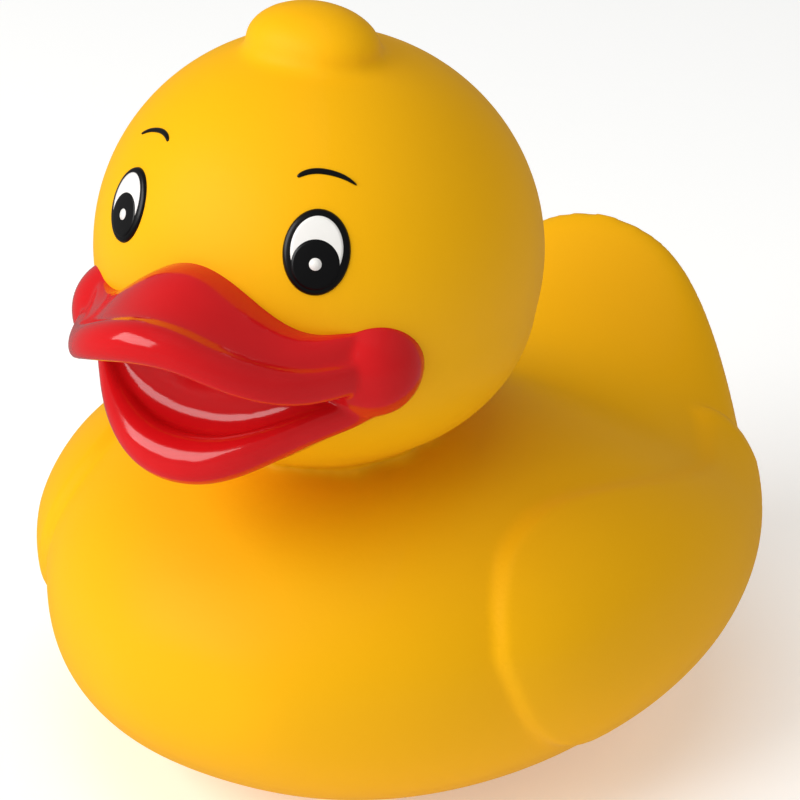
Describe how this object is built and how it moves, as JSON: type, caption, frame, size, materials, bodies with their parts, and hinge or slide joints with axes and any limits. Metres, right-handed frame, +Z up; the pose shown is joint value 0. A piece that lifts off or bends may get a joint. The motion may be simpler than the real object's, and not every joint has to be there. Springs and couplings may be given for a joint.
{
  "type": "rubber duck",
  "caption": "Rubber duck bath toy: round head on a boat-shaped body with folded wings, upswept tail and open smiling bill, resting on a small flat underside.",
  "frame": {"origin": "middle of the flat underside that the duck rests on", "axes": "+Z up, the bill points along -Y, the duck's left side is +X"},
  "size_m": [0.0822, 0.107, 0.0947],
  "materials": {
    "yellow_vinyl": "soft satin vinyl skin, yellow all through",
    "red_bill_paint": "sprayed glossy red paint on the bill",
    "black_eye_paint": "glossy black paint on the raised eyes and brows",
    "white_eye_paint": "glossy white paint in the eyes"
  },
  "bodies": {
    "root": {"duck_moulding": "yellow_vinyl"}
  },
  "joints": []
}
